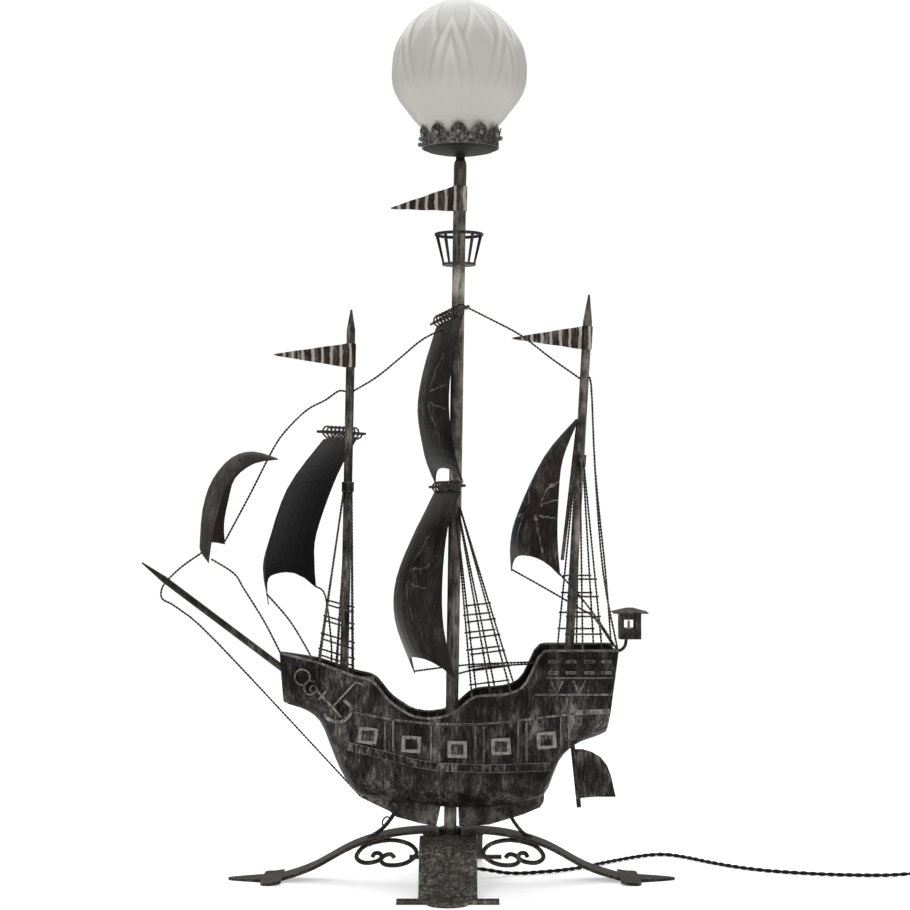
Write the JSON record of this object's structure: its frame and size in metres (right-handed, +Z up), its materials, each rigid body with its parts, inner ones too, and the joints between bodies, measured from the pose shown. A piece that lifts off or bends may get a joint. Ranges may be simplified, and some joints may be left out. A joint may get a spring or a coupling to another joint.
{
  "type": "tv lamp",
  "caption": "Wrought-iron galleon table lamp: a sailing ship on a four-footed base, with a moulded satin glass globe on its main mast.",
  "frame": {"origin": "on the surface the lamp stands on, under the middle of the lamp's box without its flex", "axes": "+X from bow to stern, -Y to the port side, +Z up"},
  "size_m": [0.9945, 0.294, 0.968],
  "materials": {
    "iron": "black patinated sheet iron, dry-brushed",
    "silvered": "dry-brushed dull silver over black",
    "bronze": "dark bronze-brown patina",
    "rust": "dark red-brown with silver stripes",
    "glass": "satin white moulded glass",
    "bulb_glass": "opal",
    "brass": "plain",
    "plastic_black": "satin",
    "plastic_white": "satin",
    "flex": "twisted twin flex",
    "rubber": "matt"
  },
  "bodies": {
    "base": {"leg_fore": "bronze", "leg_aft": "bronze", "leg_front": "bronze", "leg_back": "bronze", "hub": "bronze", "hub_nut": "silvered", "scrolls": "bronze", "struts": "bronze", "mast_tube": "silvered", "hull_port": "iron", "hull_starboard": "iron", "keel_plates": "silvered", "transom": "iron", "deck_fore": "iron", "deck_waist": "iron", "deck_poop": "iron", "rails": "silvered", "wales": "silvered", "gun_ports": "silvered", "pilasters": "iron", "stern_trim": "silvered", "anchor": "silvered", "rudder": "iron", "lantern_house": "bronze", "lantern_candle": "plastic_white", "fore_mast": "bronze", "mizzen_mast": "bronze", "mast_collars": "silvered", "crows_nest": "iron", "yards": "iron", "yard_coils": "silvered", "sail_fore": "iron", "sail_course": "silvered", "sail_topsail": "silvered", "sail_mizzen": "bronze", "sail_bow": "bronze", "pennants": "rust", "bowsprit": "bronze", "stays": "iron", "shrouds_main": "iron", "shrouds_fore": "iron", "shrouds_mizzen": "iron", "gallery": "iron", "crown": "silvered", "crown_rivets": "silvered", "lampholder": "plastic_black", "nipple": "brass", "wiring": "flex", "bush": "rubber", "cord": "flex", "coil": "flex", "switch_body": "plastic_black", "plug": "plastic_black", "plug_pins": "brass"},
    "globe": {"globe": "glass"},
    "bulb": {"bulb": "bulb_glass"},
    "screw_1": {"screw_1": "silvered"},
    "screw_2": {"screw_2": "silvered"},
    "screw_3": {"screw_3": "silvered"},
    "rocker": {"switch_rocker": "plastic_black"}
  },
  "joints": [
    {"name": "globe_lift", "type": "slide", "parent": "base", "child": "globe", "axis": [0, 0, 1], "range_m": [0, 0.06]},
    {"name": "bulb_out", "type": "slide", "parent": "base", "child": "bulb", "axis": [0, 0, 1], "range_m": [0, 0.02]},
    {"name": "screw_1_turn", "type": "slide", "parent": "base", "child": "screw_1", "axis": [0.2368, -0.9715, 0], "range_m": [0, 0.003]},
    {"name": "screw_2_turn", "type": "slide", "parent": "base", "child": "screw_2", "axis": [0.723, 0.6909, 0], "range_m": [0, 0.003]},
    {"name": "screw_3_turn", "type": "slide", "parent": "base", "child": "screw_3", "axis": [-0.9598, 0.2807, 0], "range_m": [0, 0.003]},
    {"name": "switch_rock", "type": "hinge", "parent": "base", "child": "rocker", "pos_m": [0.596, 0.014, 0.011], "axis": [0, 1, 0], "range_deg": [-16, 0]}
  ]
}
